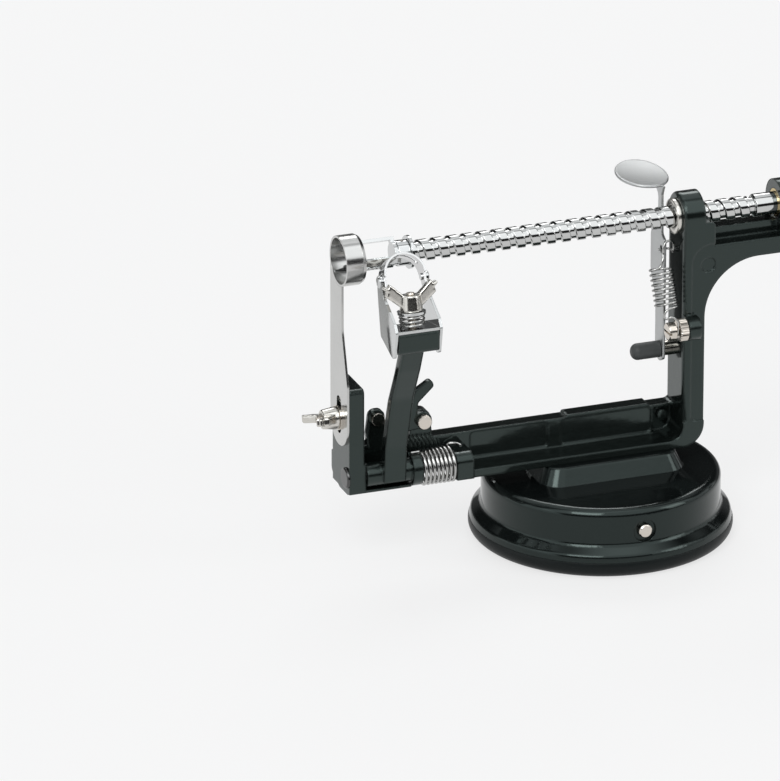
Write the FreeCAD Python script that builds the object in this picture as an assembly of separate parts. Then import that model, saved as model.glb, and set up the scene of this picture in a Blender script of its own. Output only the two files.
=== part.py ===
import FreeCAD, Part
import math
import os

V = FreeCAD.Vector

# Hand cranked apple peeler on a suction base.
# Millimetres. Origin on the table under the middle of the base.
# X runs along the screw towards the crank, Y to the rear, Z up.

# Base
foot_radius = 57.5
foot_bead = 5.1
foot_height = 7.2
foot_inner = foot_radius - 10.0
wall_radius = foot_radius - 5.5
flare_radius = foot_radius - 0.5
flare_top = 11.5
cup_top = 29.6
cup_wall = 3.2
pad_low_x = -33.0
pad_high_x = 34.5
pad_half_y = 18.4
pad_draft = 3.9
pad_corner = 9.0
pad_top = 36.8
well_half = 11.0
well_top = 32.5

# Suction lever and its cam
cam_z = 19.2
cam_rod = 3.0
cam_throw = 2.33
cam_radius = 5.4
cam_turn = 80.0
cam_half = 6.0
fit_cam = 0.15
recess_radius = 5.0
lever_y = wall_radius + 4.2
lever_thick = 3.0
lever_reach = 44.0
disc_radius = foot_inner - 2.5
disc_low = 3.2
disc_thick = 3.0

# Frame
frame_half = 10.5
rail_low = 36.8
rail_flange = 3.5
web_front = 1.5
web_back = 8.5
web_top = 53.3
web_raise = 1.1
panel_depth = 0.8
post_left = 34.0
post_right = post_left + 9.6
spindle_z = 140.5
head_radius = 10.5
arm_under = spindle_z - 19.5
arm_flange = spindle_z - 12.0
arm_web_top = spindle_z - 6.5
gusset = 25.0
rear_left = 81.0
rear_right = rear_left + 10.0
blade_post_left = -119.6
blade_post_thick = 6.7
rail_left = blade_post_left + blade_post_thick
blade_post_top = 84.4
collar_top = 49.9
screw_spread = 19.0

# Screw spindle and its bearings
thread_radius = 4.75
thread_depth = 1.0
thread_pitch = 6.9
groove_mouth = 3.3
groove_floor = 2.3
thread_sides = 12
thread_start = -89.0
thread_end = 67.0
shoulder = 69.5
journal = 5.0
fit_run = 0.06
bush_radius = 6.25
bush_flange = 7.8
bush_face = 31.6

# Fork
collar_left = -95.0
collar_right = -89.6
collar_radius = 5.65
prong_circle = 6.6
prong_wide = 3.0
prong_thick = 1.5
prong_length = 25.0

# Crank and handle
hub_left = 118.0
bar_thick = 4.5
bar_length = 85.0
bar_root = 9.0
bar_tip = 7.5
square_half = 3.6
grip_start = 125.5
grip_length = 72.0
grip_radius = 11.0
rod_radius = 3.2

# Peel arm on its pivot rod
pivot_y = -6.8
pivot_z = 43.5
pivot_radius = 2.5
arm_left = blade_post_left + 14.7
arm_right = arm_left + 10.0
arm_depth = 6.0
barrel_radius = 5.3
hub_radius = 7.3
barrel_left = blade_post_left + 8.0
arm_hub_left = arm_right + 3.7
arm_hub_right = arm_hub_left + 4.3
lug_left = arm_hub_right + 16.3
lug_right = lug_left + 7.7
latch_x = blade_post_left + 36.9
latch_z = 62.5

# Peeling head
head_x = arm_left + 5.65
block_half = 9.1
stud_lean = 10.0
head_y = -32.5
head_z = 118.5
stud_radius = 2.0
cheek_gap = 0.3
cheek_thick = 1.2
hoop_lean = 32.0

# Slicing blade and its clamp
blade_thick = 1.0
blade_half = 10.4
blade_foot = 56.6
slot_half = 2.7
slot_low = blade_foot + 5.4
slot_high = slot_low + 17.0
ring_outer = 11.0
ring_inner = 10.0
ring_length = 9.0
clamp_z = slot_low + 7.0
clamp_radius = 2.1
clamp_nut_turn = 74.0

# Release lever
plate_left = 29.0
plate_thick = 1.2
stud_y = 6.3
stud_z = 77.3
lever_hole = 2.6
tooth_reach = 3.95
pad_x = 25.0
pad_y = 20.5
pad_z = 153.6
pad_half_x = 9.6
pad_half_long = 18.0
dish = 60.0

# Springs
return_wire = 0.5
return_coil = 4.8
return_pitch = 2.2
return_turns = 7.75
twist_wire = 0.675
twist_coil = 7.325
twist_pitch = 1.87
twist_turns = 7.75
press_wire = 0.5
press_coil = 5.2
press_turns = 2.75


# Shapes shared by all the pieces

def place(plane, a, b, along):
    if plane == "xz":
        return V(a, along, b)
    if plane == "yz":
        return V(along, a, b)
    return V(a, b, along)


def outline(plane, corners, along=0.0):
    # A closed wire through corners (a, b) or (a, b, rounding).
    points = [place(plane, corner[0], corner[1], along) for corner in corners]
    spans = []
    for index, corner in enumerate(corners):
        here = points[index]
        if len(corner) < 3:
            spans.append((here, None, here))
            continue
        back = (points[index - 1] - here).normalize()
        ahead = (points[(index + 1) % len(points)] - here).normalize()
        half = back.getAngle(ahead) / 2
        bisector = (back + ahead).normalize()
        centre = here + bisector * (corner[2] / math.sin(half))
        reach = corner[2] / math.tan(half)
        spans.append((here + back * reach, centre - bisector * corner[2], here + ahead * reach))
    edges = []
    for index, span in enumerate(spans):
        if span[1] is not None:
            edges.append(Part.Arc(span[0], span[1], span[2]).toShape())
        following = spans[(index + 1) % len(spans)][0]
        if (following - span[2]).Length > 0.001:
            edges.append(Part.makeLine(span[2], following))
    return Part.Wire(edges)


def slab(plane, corners, low, high):
    return Part.Face(outline(plane, corners, low)).extrude(place(plane, 0, 0, high - low))


def box(x, y, z):
    return Part.makeBox(x[1] - x[0], y[1] - y[0], z[1] - z[0], V(x[0], y[0], z[0]))


def rod_x(radius, low, high, y=0.0, z=0.0):
    return Part.makeCylinder(radius, high - low, V(low, y, z), V(1, 0, 0))


def rod_y(radius, low, high, x=0.0, z=0.0):
    return Part.makeCylinder(radius, high - low, V(x, low, z), V(0, 1, 0))


def rod_z(radius, low, high, x=0.0, y=0.0):
    return Part.makeCylinder(radius, high - low, V(x, y, low), V(0, 0, 1))


def turned_x(corners, y=0.0, z=0.0):
    # Corners are (x, radius).
    body = Part.Face(outline("xy", corners)).revolve(V(0, 0, 0), V(1, 0, 0), 360)
    return body.translated(V(0, y, z))


def turned_z(corners):
    # Corners are (radius, z).
    return Part.Face(outline("xz", corners)).revolve(V(0, 0, 0), V(0, 0, 1), 360)


def joined(shapes):
    return shapes[0].multiFuse(shapes[1:]).removeSplitter()


def arc_between(start, tangent, end):
    chord = end - start
    side = chord - tangent * chord.dot(tangent)
    if side.Length < 0.0001:
        return Part.makeLine(start, end)
    radius = chord.dot(chord) / (2 * side.Length)
    centre = start + side.normalize() * radius
    outward = ((start - centre) + (end - centre)).normalize()
    return Part.Arc(start, centre + outward * radius, end).toShape()


def biarcs(stations):
    # Pairs of tangent arcs through stations of (point, direction).
    edges = []
    for (start, first), (end, last) in zip(stations, stations[1:]):
        span = end - start
        both = first + last
        turning = 2 * (1 - first.dot(last))
        along = span.dot(both)
        if turning < 0.00001:
            reach = span.dot(span) / (2 * along)
        else:
            reach = (math.sqrt(along * along + turning * span.dot(span)) - along) / turning
        near = start + first * reach
        far = end - last * reach
        joint = (near + far) * 0.5
        edges.append(arc_between(start, first, joint))
        edges.append(arc_between(joint, (far - near).normalize(), end))
    return edges


def helix_stations(base, axis, start_at, radius, pitch, turns, steps_per_turn=4):
    # Stations at equal steps of a helix; start_at points from the axis to its first point.
    sideways = axis.cross(start_at)
    stations = []
    for step in range(int(round(turns * steps_per_turn)) + 1):
        angle = 2 * math.pi * step / steps_per_turn
        out = start_at * math.cos(angle) + sideways * math.sin(angle)
        round_way = sideways * math.cos(angle) - start_at * math.sin(angle)
        rise = pitch / (2 * math.pi)
        direction = (round_way * radius + axis * rise).normalize()
        stations.append((base + out * radius + axis * (rise * angle), direction))
    return stations


def wire_form(name, stations, radius):
    # One unbroken tube, and the least gap between its turns.
    edges = biarcs(stations)
    spine = Part.Wire(edges)
    point, direction = stations[0]
    mouth = Part.Wire([Part.Circle(point, direction, radius).toShape()])
    tube = spine.makePipeShell([mouth], True)
    points = []
    lengths = []
    run = 0.0
    for edge in edges:
        count = max(3, int(edge.Length / 0.5))
        for index in range(count):
            share = edge.Length * index / count
            points.append(edge.valueAt(edge.getParameterByLength(share)))
            lengths.append(run + share)
        run += edge.Length
    least = 1000.0
    for index, here in enumerate(points):
        for other in range(index + 1, len(points)):
            if lengths[other] - lengths[index] > 8 * radius:
                least = min(least, here.distanceToPoint(points[other]))
    print(name, "least gap between turns", round(least - 2 * radius, 2))
    return tube


os.makedirs("parts", exist_ok=True)


def keep(name, shape):
    if shape.Volume < 0:
        shape.reverse()
    if not shape.isValid():
        print("not valid:", name)
    if len(shape.Solids) != 1:
        print(name, "solids:", len(shape.Solids))
    shape.exportStep("parts/" + name + ".step")


# Base housing with its pad, and the rubber foot ring under it

shell = turned_z([(0, cup_top), (0, cup_top - cup_wall), (wall_radius - cup_wall, cup_top - cup_wall, 3.0),
                  (wall_radius - cup_wall, foot_height), (flare_radius, foot_height),
                  (flare_radius - 0.6, flare_top - 1.2, 2.0), (wall_radius, flare_top + 2.2, 2.5),
                  (wall_radius, cup_top, 3.6)])
pad_rings = []
for inset, level in ((0, cup_top - 1.0), (pad_draft, pad_top)):
    near = -pad_half_y + inset
    far = pad_half_y - inset
    left = pad_low_x + inset
    right = pad_high_x - inset
    rounding = pad_corner - inset / 2
    pad_rings.append(outline("xy", [(left, near, rounding), (right, near, rounding), (right, far, rounding),
                                    (left, far, rounding)], level))
pad = Part.makeLoft(pad_rings, True, True)
pad = pad.makeFillet(1.4, [edge for edge in pad.Edges if edge.BoundBox.ZMin > pad_top - 0.1])
housing = joined([shell, pad])
housing = housing.cut(box((-well_half, well_half), (-cam_half - 2.5, cam_half + 2.5), (20.0, well_top)))
housing = housing.cut(rod_y(cam_rod + fit_run, -60, 60, 0, cam_z))
housing = housing.cut(rod_y(recess_radius, -60, -wall_radius + 1.4, 0, cam_z))
screw_y = (web_front + web_back) / 2
screw_places = [(-screw_spread, screw_y), (screw_spread, screw_y)]
for x, y in screw_places:
    housing = housing.cut(rod_z(2.6, 20, pad_top + 1, x, y))
keep("base_housing", housing)

bead_centre = foot_radius - foot_bead
bead_top = bead_centre + math.sqrt(foot_bead ** 2 - (foot_height - foot_bead) ** 2)
ring_wire = Part.Wire([
    Part.makeLine(V(foot_inner, 0, 0), V(bead_centre, 0, 0)),
    Part.Arc(V(bead_centre, 0, 0), V(bead_centre + foot_bead * math.sin(1.0), 0, foot_bead * (1 - math.cos(1.0))),
             V(bead_top, 0, foot_height)).toShape(),
    Part.makeLine(V(bead_top, 0, foot_height), V(foot_inner, 0, foot_height)),
    Part.makeLine(V(foot_inner, 0, foot_height), V(foot_inner, 0, 0))])
keep("foot_ring", Part.Face(ring_wire).revolve(V(0, 0, 0), V(0, 0, 1), 360))

# Cam shaft, cam, yoke, plate and suction disc inside the base

cam_angle = math.radians(cam_turn / 2)
cam_x = -cam_throw * math.cos(cam_angle)
cam_high = cam_z + cam_throw * math.sin(cam_angle)
shaft = rod_y(cam_rod, -wall_radius - 1.0, lever_y + lever_thick + 0.6, 0, cam_z)
shaft = shaft.makeChamfer(0.5, [edge for edge in shaft.Edges if edge.BoundBox.YLength < 0.01])
keep("cam_shaft", shaft)
cam = rod_y(cam_radius, -cam_half, cam_half, cam_x, cam_high).cut(rod_y(cam_rod, -cam_half, cam_half, 0, cam_z))
keep("eccentric_cam", cam)
window_low = -cam_throw - cam_radius - fit_cam
window_high = cam_x + cam_radius + fit_cam
yoke_top = cam_high + cam_radius + fit_cam + 1.4
yoke_low = disc_low + disc_thick + 2.0
yoke = box((window_low - 1.5, window_high + 1.5), (-cam_half + 1, cam_half - 1), (yoke_low, yoke_top))
yoke = yoke.makeFillet(1.2, [edge for edge in yoke.Edges if edge.BoundBox.YLength > 5])
yoke = yoke.cut(box((window_low, window_high), (-20, 20),
                    (cam_high - cam_radius - fit_cam, cam_high + cam_radius + fit_cam)))
keep("draw_yoke", yoke)
keep("draw_plate", rod_z(20.0, yoke_low - 2.0, yoke_low))
disc = turned_z([(0, disc_low + disc_thick), (0, disc_low + 1.2), (20.0, disc_low + 1.0), (disc_radius - 8, disc_low, 3.0),
                 (disc_radius, disc_low, 0.8), (disc_radius, disc_low + 1.6, 0.7),
                 (disc_radius - 10, disc_low + disc_thick, 6.0)])
keep("suction_disc", disc)

paddle = slab("xz", [(-6.5, cam_z - 6.5, 5.0), (10, cam_z - 6.5, 8.0), (16, cam_z - 4.2, 8.0),
                     (lever_reach, cam_z - 6.0, 5.5), (lever_reach, cam_z + 6.0, 5.5),
                     (16, cam_z + 4.2, 8.0), (10, cam_z + 6.5, 8.0), (-6.5, cam_z + 6.5, 5.0)],
              lever_y, lever_y + lever_thick)
paddle = paddle.makeFillet(0.8, [edge for edge in paddle.Edges if edge.BoundBox.YLength < 0.01])
lever_boss = rod_y(6.2, wall_radius + 1.2, lever_y + 1, 0, cam_z)
suction_lever = joined([paddle, lever_boss])
suction_lever = suction_lever.cut(rod_y(cam_rod, 0, 90, 0, cam_z))
pin_y = lever_y - 1.6
suction_lever = suction_lever.cut(rod_z(1.0, cam_z - 9, cam_z + 9, 0, pin_y))
keep("suction_lever", suction_lever)
keep("lever_pin", rod_z(1.0, cam_z + cam_rod - 0.4, cam_z + 6.4, 0, pin_y).fuse(
    rod_z(1.0, cam_z - 6.4, cam_z - cam_rod + 0.4, 0, pin_y)).cut(rod_y(cam_rod, 0, 90, 0, cam_z)).Solids[0])

# Frame: one casting with the rail, both posts and the rear bearing arm

rail_deck = rail_low + rail_flange
angle_iron = slab("xz", [(blade_post_left, rail_low), (post_right, rail_low, 10.0), (post_right, spindle_z),
                         (post_left, spindle_z), (post_left, rail_deck, 6.0), (blade_post_left, rail_deck)],
                  -frame_half, frame_half)
corner_tool = box((post_left - 4, post_left + 4), (-frame_half - 1.5, frame_half + 1.5),
                  (rail_deck + 8, spindle_z + 10.5)).cut(
    slab("xy", [(post_left, -frame_half, 3.0), (post_right, -frame_half), (post_right, frame_half),
                (post_left, frame_half, 3.0)], rail_deck, spindle_z + 20))
angle_iron = angle_iron.cut(corner_tool)
web = slab("xz", [(blade_post_left, rail_low), (post_left + 3, rail_low), (post_left + 3, web_top + 5.0),
                  (post_left - 0.6, web_top, 3.0), (23.0, web_top), (22.6, web_top + web_raise, 1.0),
                  (-15.4, web_top + web_raise, 1.0), (-15.8, web_top), (blade_post_left, web_top)],
           web_front, web_back)
head = rod_x(head_radius, post_left, post_right, 0, spindle_z)
head = head.makeFillet(1.6, [edge for edge in head.Edges if edge.BoundBox.XMax < post_left + 0.1])
gusset_side = slab("xz", [(post_right - 1, arm_under - gusset - 3), (post_right, arm_under - gusset - 3),
                          (post_right, arm_under, gusset), (rear_right, arm_under),
                          (rear_right, arm_flange), (post_right - 1, arm_flange)], -frame_half, frame_half)
stub_right = post_right + 4.4
left_wall = box((post_right - 1, stub_right), (-frame_half, frame_half), (arm_flange - 1, spindle_z - 1.0))
left_wall = left_wall.makeFillet(2.0, [edge for edge in left_wall.Edges
                                       if edge.BoundBox.XMin > stub_right - 0.1 and edge.BoundBox.ZMin > spindle_z - 1.1])
right_wall = box((rear_left - 1.4, rear_right), (-frame_half, frame_half), (arm_flange - 1, spindle_z))
rear_head = rod_x(head_radius, rear_left - 1.4, rear_right, 0, spindle_z)
arm_web = box((stub_right - 1, rear_left - 1), (-3, 5), (arm_flange - 1, arm_web_top))
blade_post = box((blade_post_left, rail_left), (-frame_half, frame_half), (collar_top - 4, blade_post_top))
blade_post = blade_post.makeFillet(2.0, [edge for edge in blade_post.Edges
                                         if edge.BoundBox.ZMin > blade_post_top - 0.1 and edge.BoundBox.XLength > 1])
collar_back = frame_half + 1.5
collar = slab("yz", [(-frame_half, rail_low - 0.8, 3.0), (2, rail_low - 0.8, 2.0), (collar_back, rail_low + 3.5, 3.0),
                     (collar_back, collar_top, 1.0), (-frame_half, collar_top)], blade_post_left, rail_left + 0.8)
casting = joined([angle_iron, web, head, gusset_side, left_wall, right_wall, rear_head, arm_web, blade_post, collar])
for low_x, high_x in ((-60.0, -24.0), (-18.0, 23.8)):
    casting = casting.cut(slab("xz", [(low_x, rail_deck + 0.7, 2.0), (high_x, rail_deck + 0.7, 2.0),
                                      (high_x, web_top - 0.4, 2.0), (low_x, web_top - 0.4, 2.0)],
                               web_front - 1, web_front + panel_depth))
casting = casting.cut(slab("xz", [(24.6, rail_deck, 1.0), (post_left, rail_deck, 6.0), (post_left, web_top - 0.8, 1.0),
                                  (24.6, web_top - 0.8, 1.0)], -1, web_front + 3.0))
casting = casting.fuse(rod_y(2.4, web_front, web_front + 4, 29.3, 48.2))
panel_left = post_left + 3.4
panel_top = arm_flange + 1.0
casting = casting.cut(slab("xz", [(panel_left, web_top - 5, 3.0), (rear_right + 5, web_top - 5), (rear_right + 5, panel_top),
                                  (panel_left, panel_top, 9.0)], -frame_half - 1, -frame_half + panel_depth))
casting = casting.cut(rod_y(3.3, -12, -frame_half + panel_depth + 0.7, post_right + 1.6, arm_under - 1.2))

arm_zone = box((rail_left + 0.8, arm_hub_left - 0.3), (-20, web_front), (rail_low + 1.0, latch_z))
hub_zone = box((arm_hub_left - 0.3, lug_left - 0.2), (-20, web_front), (rail_low - 1.0, latch_z))
casting = casting.cut(arm_zone).cut(hub_zone)
lug = slab("yz", [(pivot_y - 4.6, rail_low), (web_front + 1, rail_low), (web_front + 1, pivot_z + 4.6),
                  (pivot_y - 4.6, pivot_z + 4.6, 4.5)], lug_left, lug_right)
casting = casting.fuse(lug)
casting = casting.cut(rod_x(pivot_radius, blade_post_left, lug_right, pivot_y, pivot_z))
latch_lug = slab("xz", [(latch_x - 5.4, web_top - 1), (latch_x + 5.4, web_top - 1), (latch_x + 4.0, latch_z + 4.0, 3.9),
                        (latch_x - 4.0, latch_z + 4.0, 3.9)], web_front, web_front + 5.0)
casting = casting.fuse(latch_lug)
casting = casting.cut(rod_y(1.8, web_front - 1, web_front + 5, latch_x, latch_z))
casting = casting.cut(rod_x(bush_radius, post_left - 1, post_right + 1, 0, spindle_z))
casting = casting.cut(rod_x(thread_radius + 1.2, post_right - 1, stub_right + 1, 0, spindle_z))
casting = casting.cut(rod_x(bush_radius, rear_left - 2, rear_right + 1, 0, spindle_z))
casting = casting.cut(rod_x(clamp_radius, blade_post_left - 1, rail_left + 1, 0, clamp_z))
casting = casting.cut(rod_x(2.0, post_left - 1, post_left + 7.0, stud_y, stud_z))
anchor_y = -frame_half - 2.2
anchor_z = 92.8
anchor_lug = slab("yz", [(-frame_half + 2, anchor_z - 5.0), (anchor_y - 4.8, anchor_z - 5.0, 4.6),
                         (anchor_y - 4.8, anchor_z + 5.0, 4.6), (-frame_half + 2, anchor_z + 5.0)],
                  post_left, post_left + 5.4)
casting = casting.fuse(anchor_lug).cut(rod_x(1.6, post_left - 1, post_left + 6, anchor_y, anchor_z))
for x, y in screw_places:
    casting = casting.cut(rod_z(2.0, rail_low - 1, rail_low + 10, x, y))
keep("frame", casting.removeSplitter())

frame_screws = []
for x, y in screw_places:
    frame_screws.append(rod_z(4.0, 22.8, cup_top - cup_wall, x, y).fuse(rod_z(2.0, 26, rail_low + 10, x, y)))
Part.makeCompound(frame_screws).exportStep("parts/frame_screws.step")

# Bearing bushes

front_bush = turned_x([(bush_face, thread_radius + fit_run), (bush_face, bush_flange, 0.8), (post_left, bush_flange),
                       (post_left, bush_radius), (post_right, bush_radius), (post_right, thread_radius + fit_run)],
                      0, spindle_z)
keep("front_bush", front_bush)
rear_bush = turned_x([(rear_left - 1.4, journal + fit_run), (rear_left - 1.4, bush_radius), (rear_right, bush_radius),
                      (rear_right, journal + fit_run)], 0, spindle_z)
keep("rear_bush", rear_bush)

# Screw spindle: one coarse groove in flat facets, phased to sit on the lever's tooth

blank = turned_x([(thread_end, 0), (thread_end, journal - 1.4), (shoulder - 0.8, journal - 1.4), (shoulder, journal),
                  (hub_left, journal), (hub_left, 0)], 0, spindle_z)
tooth_x = plate_left + plate_thick / 2
turns_before = math.ceil((tooth_x - thread_start) / thread_pitch) + 1
turns_after = math.ceil((thread_end - tooth_x) / thread_pitch) + 1


def thread_point(step, side, radius):
    # A point of the groove's profile; whole turns from the tooth lie on the rear side.
    angle = 2 * math.pi * step / thread_sides
    x = tooth_x + thread_pitch * step / thread_sides + side
    return V(x, radius * math.cos(angle), spindle_z + radius * math.sin(angle))


def profile(step):
    root = thread_radius - thread_depth
    return [thread_point(step, -groove_mouth / 2, thread_radius), thread_point(step, -groove_floor / 2, root),
            thread_point(step, groove_floor / 2, root), thread_point(step, groove_mouth / 2, thread_radius),
            thread_point(step + thread_sides, -groove_mouth / 2, thread_radius)]


def triangle(a, b, c):
    return Part.Face(Part.makePolygon([a, b, c, a]))


first = -turns_before * thread_sides
last = turns_after * thread_sides
skin = []
for step in range(first, last):
    here = profile(step)
    following = profile(step + 1)
    for index in range(4):
        skin.append(triangle(here[index], here[index + 1], following[index]))
        skin.append(triangle(following[index], here[index + 1], following[index + 1]))
for end, edge_side in ((first, 0), (last, 4)):
    across = profile(end)
    hub_point = V((across[0].x + across[4].x) / 2, 0, spindle_z)
    for index in range(4):
        skin.append(triangle(hub_point, across[index], across[index + 1]))
    for step in range(end, end + thread_sides):
        if edge_side == 0:
            skin.append(triangle(hub_point, profile(step)[0], profile(step + 1)[0]))
        else:
            skin.append(triangle(hub_point, profile(step - thread_sides)[4], profile(step - thread_sides + 1)[4]))
thread = Part.makeShell(skin)
thread.sewShape()
thread = Part.Solid(thread)
if thread.Volume < 0:
    thread.reverse()
thread = thread.common(rod_x(thread_radius + 1, thread_start, thread_end, 0, spindle_z))
spindle = thread.fuse([rod_x(3.0, collar_left, thread_start, 0, spindle_z), blank])
square = box((hub_left, hub_left + bar_thick + 1.5), (-square_half, square_half),
             (spindle_z - square_half, spindle_z + square_half))
spindle = spindle.fuse(square).fuse(rod_x(2.8, hub_left + bar_thick + 1, hub_left + bar_thick + 8, 0, spindle_z))
spindle = spindle.cut(rod_z(1.0, spindle_z - 9, spindle_z + 9, (collar_left + collar_right) / 2, 0))
keep("spindle", spindle)

washer = turned_x([(collar_right, thread_radius + 0.1), (collar_right, 7.2), (collar_right + 1.2, 7.2),
                   (collar_right + 1.2, thread_radius + 0.1)], 0, spindle_z)
keep("thrust_washer", washer)

# Fork that holds the fruit

collar_body = turned_x([(collar_left, 3.0), (collar_left, collar_radius, 0.5), (collar_right, collar_radius, 0.5),
                        (collar_right, 3.0)], 0, spindle_z)
collar_body = collar_body.cut(rod_z(1.0, spindle_z - 9, spindle_z + 9, (collar_left + collar_right) / 2, 0))
keep("fork_collar", collar_body)
keep("fork_pin", rod_z(1.0, spindle_z - 5.4, spindle_z + 5.4, (collar_left + collar_right) / 2, 0))
fork_face = collar_left - 1.5
fork = rod_x(5.0, fork_face, collar_left, 0, spindle_z)
for index in range(3):
    reach = box((fork_face, collar_left), (-prong_wide / 2, prong_wide / 2), (0, prong_circle + prong_thick / 2))
    prong = slab("xz", [(collar_left, prong_circle - prong_thick / 2), (collar_left, prong_circle + prong_thick / 2, 0.9),
                        (fork_face - prong_length * 0.7, prong_circle + prong_thick / 2),
                        (fork_face - prong_length, prong_circle), (fork_face - prong_length * 0.7,
                                                                   prong_circle - prong_thick / 2)],
                 -prong_wide / 2, prong_wide / 2)
    taper = slab("xy", [(collar_left, -prong_wide / 2), (fork_face - prong_length * 0.7, -prong_wide / 2),
                        (fork_face - prong_length, -0.3), (fork_face - prong_length, 0.3),
                        (fork_face - prong_length * 0.7, prong_wide / 2), (collar_left, prong_wide / 2)], 0, 12)
    arm = reach.fuse(prong.common(taper))
    arm.rotate(V(0, 0, 0), V(1, 0, 0), 90 + 120 * index)
    fork = fork.fuse(arm.translated(V(0, 0, spindle_z)))
keep("fork", fork.removeSplitter())

# Crank, handle rod, grip and nuts

bar_right = hub_left + bar_thick
tip_z = spindle_z - bar_length
lean_in = math.asin((bar_root - bar_tip) / bar_length)
side_y = math.cos(lean_in)
side_z = math.sin(lean_in)
crank_wire = Part.Wire([
    Part.Arc(V(hub_left, -bar_root * side_y, spindle_z - bar_root * side_z), V(hub_left, 0, spindle_z + bar_root),
             V(hub_left, bar_root * side_y, spindle_z - bar_root * side_z)).toShape(),
    Part.makeLine(V(hub_left, bar_root * side_y, spindle_z - bar_root * side_z),
                  V(hub_left, bar_tip * side_y, tip_z - bar_tip * side_z)),
    Part.Arc(V(hub_left, bar_tip * side_y, tip_z - bar_tip * side_z), V(hub_left, 0, tip_z - bar_tip),
             V(hub_left, -bar_tip * side_y, tip_z - bar_tip * side_z)).toShape(),
    Part.makeLine(V(hub_left, -bar_tip * side_y, tip_z - bar_tip * side_z),
                  V(hub_left, -bar_root * side_y, spindle_z - bar_root * side_z))])
crank = Part.Face(crank_wire).extrude(V(bar_thick, 0, 0))
crank = crank.makeFillet(0.9, [edge for edge in crank.Edges if edge.BoundBox.XLength < 0.01])
crank = crank.cut(box((hub_left - 1, bar_right + 1), (-square_half, square_half),
                      (spindle_z - square_half, spindle_z + square_half)))
crank = crank.cut(rod_x(2.4, hub_left - 1, bar_right + 1, 0, tip_z))
keep("crank_arm", crank)


def hexagon_x(low, high, across, y, z):
    corner = across / math.sqrt(3)
    points = []
    for index in range(6):
        angle = math.radians(60 * index + 30)
        points.append((y + corner * math.cos(angle), z + corner * math.sin(angle)))
    return slab("yz", points, low, high)


nut_left = bar_right + 1.5
nut = hexagon_x(nut_left, nut_left + 5.0, 10.0, 0, spindle_z)
nut = nut.common(turned_x([(nut_left, 0), (nut_left, 5.0), (nut_left + 0.8, 5.8), (nut_left + 4.2, 5.8),
                           (nut_left + 5.0, 5.0), (nut_left + 5.0, 0)], 0, spindle_z))
dome = turned_x([(nut_left + 4.8, 0), (nut_left + 4.8, 4.6), (nut_left + 9.0, 4.6, 4.0), (nut_left + 9.0, 0)], 0, spindle_z)
nut = nut.fuse(dome).cut(rod_x(2.8, nut_left - 1, nut_left + 6.5, 0, spindle_z))
keep("crank_nut", nut)
crank_washer = rod_x(7.0, bar_right, nut_left, 0, spindle_z).cut(
    box((hub_left, nut_left + 1), (-square_half, square_half), (spindle_z - square_half, spindle_z + square_half)))
keep("crank_washer", crank_washer)

grip_end = grip_start + grip_length
handle_rod = turned_x([(hub_left - 1.5, 0), (hub_left - 1.5, 3.4, 0.6), (hub_left, 3.4), (hub_left, 2.4), (bar_right, 2.4),
                       (bar_right, 4.6), (grip_start - 0.4, 4.6), (grip_start - 0.4, rod_radius),
                       (grip_end - 2.0, rod_radius), (grip_end - 2.0, 5.4), (grip_end - 0.6, 5.4, 0.6),
                       (grip_end - 0.6, 0)], 0, tip_z)
keep("handle_rod", handle_rod)
bore = rod_radius + 0.08
grip = turned_x([(grip_start, bore), (grip_start, 7.5, 1.0), (grip_start + 9, 8.2, 10.0),
                 (grip_start + 30, grip_radius, 60.0), (grip_end - 14, grip_radius, 25.0),
                 (grip_end, 8.4, 3.0), (grip_end, 6.0), (grip_end - 2.3, 6.0), (grip_end - 2.3, bore)], 0, tip_z)
keep("handle_grip", grip)

# Peel arm, its pivot rod and its head block

front = [(-14.0, 41.5), (-15.2, 57.5), (-19.6, 72.5), (-23.0, 83.0), (-31.4, 99.3),
         (head_y - 4.3, head_z - 6.5)]
back = []
for y, z in reversed(front[1:]):
    back.append((y + arm_depth, z - 1.6, 14.0))
corners = [front[0]] + [(y, z, 16.0) for y, z in front[1:-1]] + [front[-1]] + [back[0][:2]] + back[1:]
limb = slab("yz", corners + [(-8.0, 52.0, 4.0), (pivot_y, 48.0), (pivot_y, 41.5)], arm_left, arm_right)
limb = limb.makeFillet(0.9, [edge for edge in limb.Edges if edge.BoundBox.XLength < 0.01
                             and edge.BoundBox.YMax < pivot_y - 2 and edge.Length > 6])
barrel = rod_x(barrel_radius, barrel_left, arm_hub_left, pivot_y, pivot_z)
hub = rod_x(hub_radius, arm_hub_left, arm_hub_right, pivot_y, pivot_z)
block = slab("yz", [(head_y - 8.5, head_z - 8.0, 2.0), (head_y + 8.5, head_z - 8.0, 2.0),
                    (head_y + 8.5, head_z - 1.5, 0.8), (head_y - 8.5, head_z + 1.5, 0.8)],
             head_x - block_half, head_x + block_half)
lean = math.radians(stud_lean)
stud_axis = V(0, math.sin(lean), math.cos(lean))
stud_foot = V(head_x, head_y, head_z)


def upright(shape):
    # Stands a shape drawn about the Z axis onto the leaning stud.
    turned = shape.copy()
    turned.rotate(V(0, 0, 0), V(1, 0, 0), -stud_lean)
    return turned.translated(stud_foot)


peel_arm = joined([limb, barrel, hub, block])
peel_arm = peel_arm.cut(rod_x(pivot_radius + fit_run, barrel_left - 1, arm_hub_right + 1, pivot_y, pivot_z))
peel_arm = peel_arm.cut(upright(rod_z(stud_radius, -7.0, 5)))
notch_y = pivot_y
notch_z = pivot_z + twist_coil
peel_arm = peel_arm.cut(box((arm_hub_left, arm_hub_right + 0.4), (notch_y - 1.2, notch_y + 1.2), (notch_z - 1.2, notch_z + 2)))
keep("peel_arm", peel_arm)

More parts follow.
